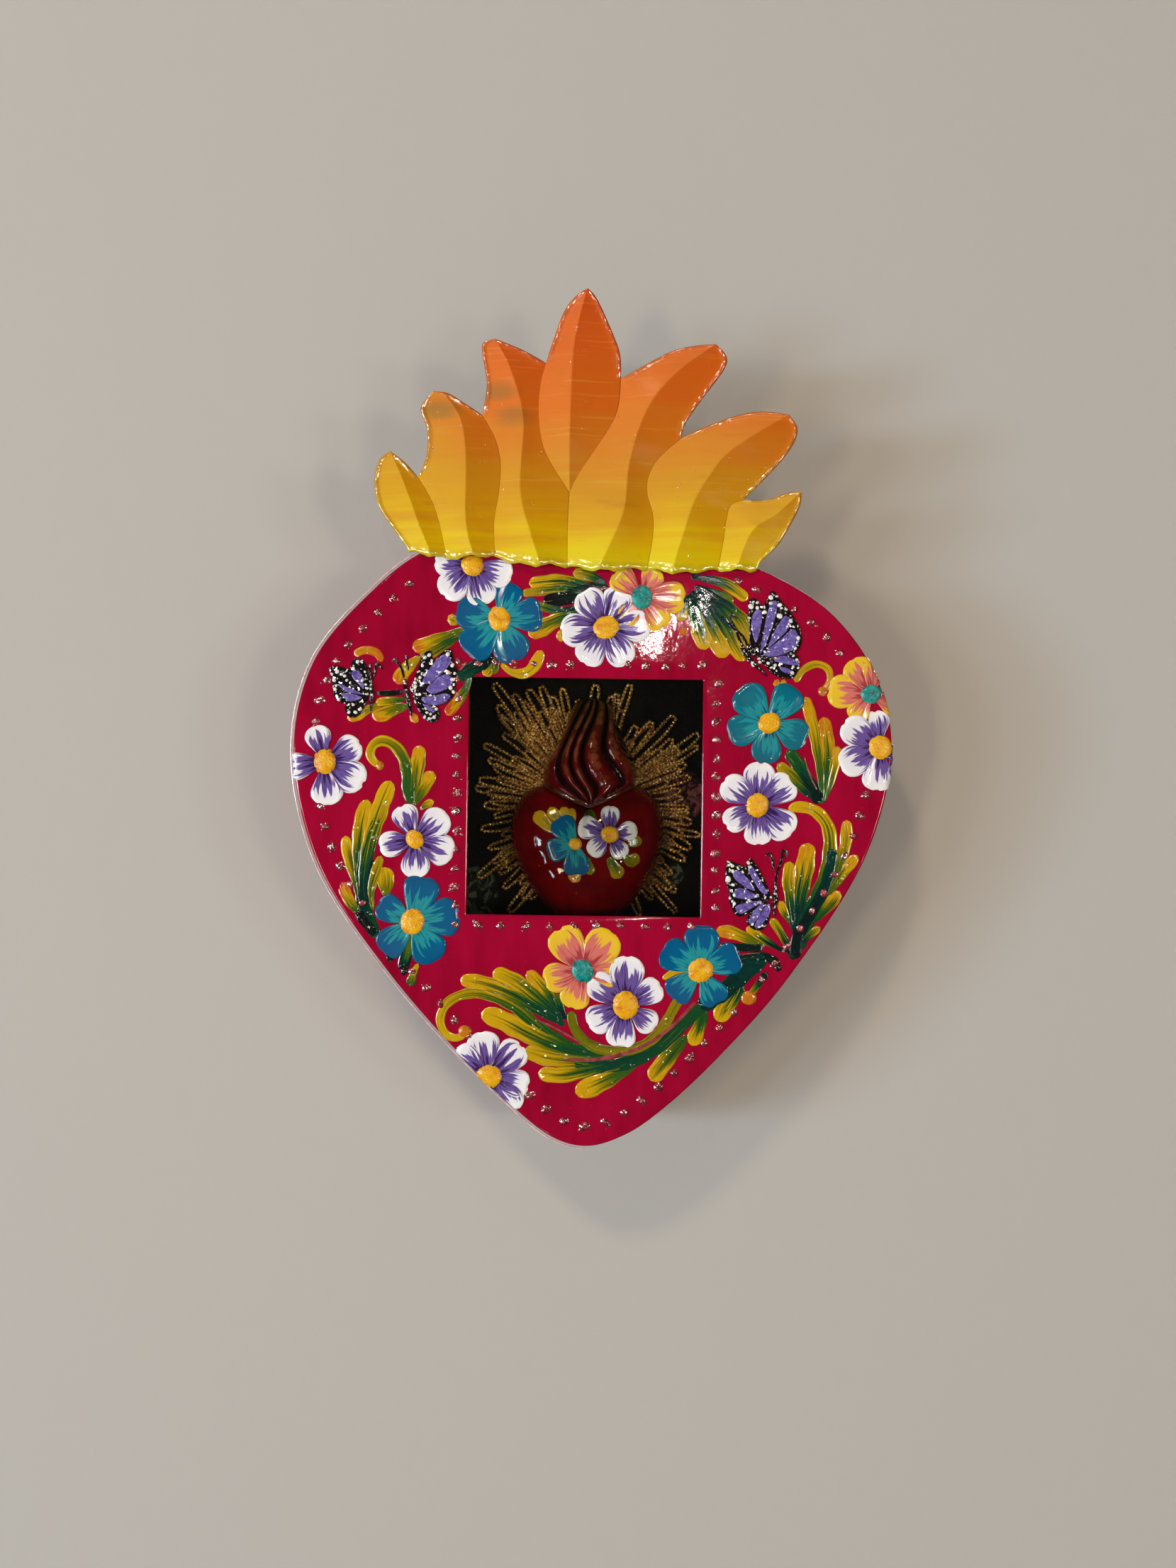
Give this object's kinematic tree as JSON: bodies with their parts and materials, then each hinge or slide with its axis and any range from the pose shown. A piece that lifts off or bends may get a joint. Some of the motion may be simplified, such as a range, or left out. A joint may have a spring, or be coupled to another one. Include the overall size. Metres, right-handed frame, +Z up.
{
  "type": "devotional niche",
  "caption": "Heart-shaped painted tin wall niche with a flame crest, a glazed square window, a clay heart in gold lace inside, and a hinged back door.",
  "frame": {"origin": "the hanging point: on the wall plane, in line with the pivot of the hanging ring", "axes": "+Z up, +X to the right seen from the front, +Y into the wall, so the front faces -Y"},
  "size_m": [0.1688, 0.0354, 0.2418],
  "materials": {
    "painted_front": "glossy magenta enamel over tin, hand painted with flowers, leaves and butterflies",
    "painted_flame": "glossy orange to yellow enamel over embossed tin",
    "bare_tin": "bare tinplate with solder",
    "steel_wire": "drawn steel wire",
    "window_glass": "clear float glass",
    "card": "grey-brown chipboard",
    "lining_cloth": "near-black cotton with muted flowers",
    "gold_cord": "glittering metallic gold cord",
    "painted_clay": "glossy dark red paint over fired clay"
  },
  "bodies": {
    "case": {"front_plate": "painted_front", "side_band_left": "painted_front", "side_band_right": "painted_front", "top_seam_tab": "bare_tin", "tip_seam_tab": "bare_tin", "flame_crest": "painted_flame", "back_cover": "bare_tin", "hanger_strap": "bare_tin", "niche_box": "bare_tin", "glass_pane": "window_glass", "glass_clip_right": "bare_tin", "glass_clip_top": "bare_tin", "glass_clip_left": "bare_tin", "glass_clip_bottom": "bare_tin", "hinge_knuckle_top": "bare_tin", "hinge_knuckle_bottom": "bare_tin", "hinge_pin": "steel_wire", "latch_rivet": "steel_wire"},
    "door": {"back_door": "bare_tin", "door_knuckle": "bare_tin", "door_pull": "bare_tin", "backing_card": "card", "lining_fabric": "lining_cloth", "gold_lace": "gold_cord", "clay_heart": "painted_clay"},
    "button": {"turn_button": "bare_tin"},
    "ring": {"hanging_ring": "steel_wire"}
  },
  "joints": [
    {"name": "door_hinge", "type": "hinge", "parent": "case", "child": "door", "pos_m": [-0.043, -0.0027, -0.0592], "axis": [0, 0, 1], "range_deg": [0, 160]},
    {"name": "button_turn", "type": "hinge", "parent": "case", "child": "button", "pos_m": [0.044, -0.0027, -0.0592], "axis": [0, 1, 0], "range_deg": [0, 90]},
    {"name": "ring_swing", "type": "hinge", "parent": "case", "child": "ring", "pos_m": [0, -0.0025, 0], "axis": [1, 0, 0], "range_deg": [0, 180]}
  ]
}
